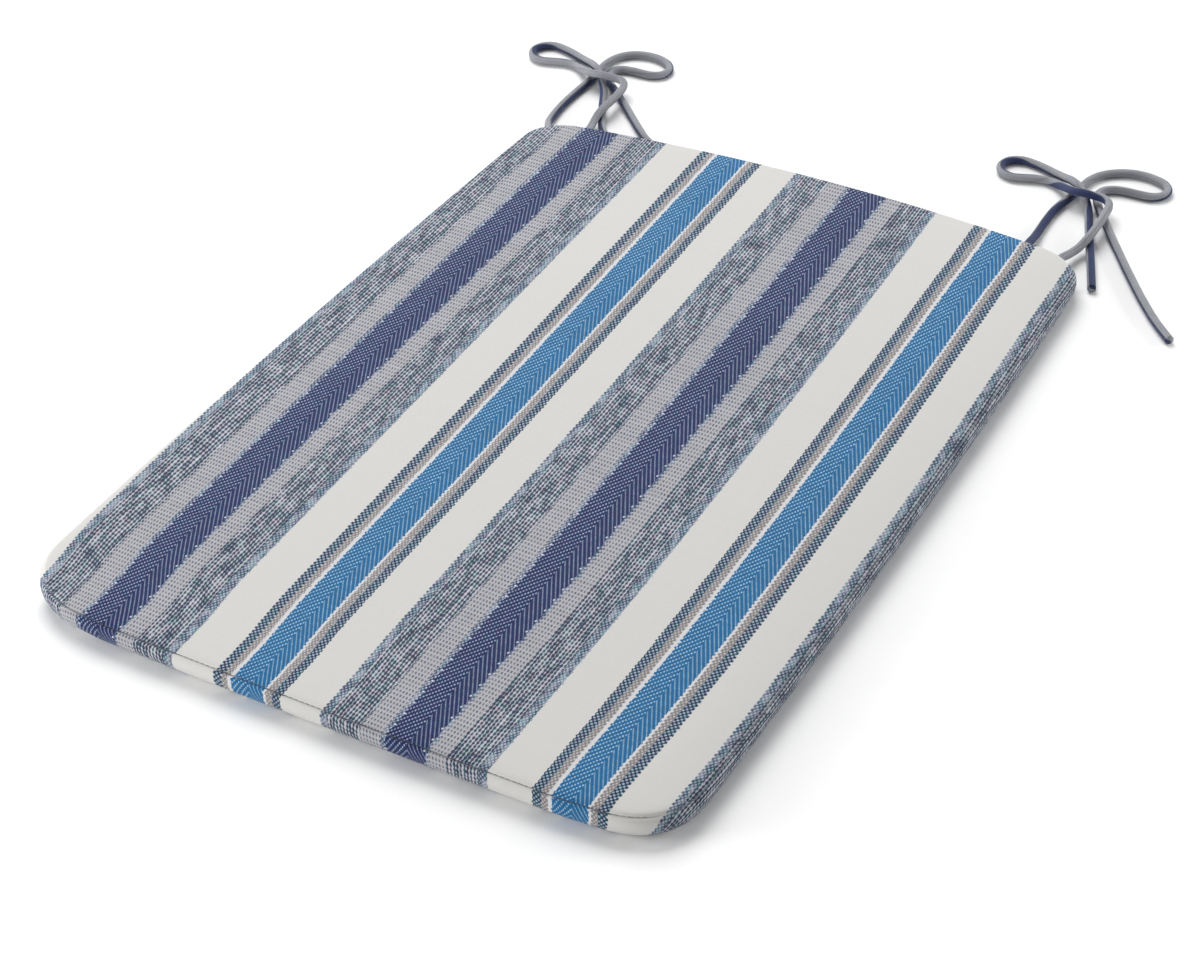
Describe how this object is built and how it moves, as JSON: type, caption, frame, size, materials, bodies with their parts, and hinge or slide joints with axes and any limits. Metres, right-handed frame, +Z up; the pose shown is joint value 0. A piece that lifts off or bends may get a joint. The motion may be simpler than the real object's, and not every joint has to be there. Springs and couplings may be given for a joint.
{
  "type": "chair pad",
  "caption": "Thin boxed seat pad in striped woven cloth, with fabric ties at the back edge knotted in bows.",
  "frame": {"origin": "middle of the pad's footprint, ties left out, on the surface that it lies on", "axes": "+X across the pad to its right, +Y from the front edge to the back edge with the ties, +Z up"},
  "size_m": [0.4948, 0.6374, 0.02],
  "materials": {
    "striped_cloth": "matt woven cloth with cream, blue and navy herringbone and grey stripes",
    "tie_cloth": "the grey and navy part of the same cloth, sewn into narrow tubes"
  },
  "bodies": {
    "root": {"pad": "striped_cloth", "tie_left_outer": "tie_cloth", "tie_left_inner": "tie_cloth", "tie_right_inner": "tie_cloth", "tie_right_outer": "tie_cloth"}
  },
  "joints": []
}
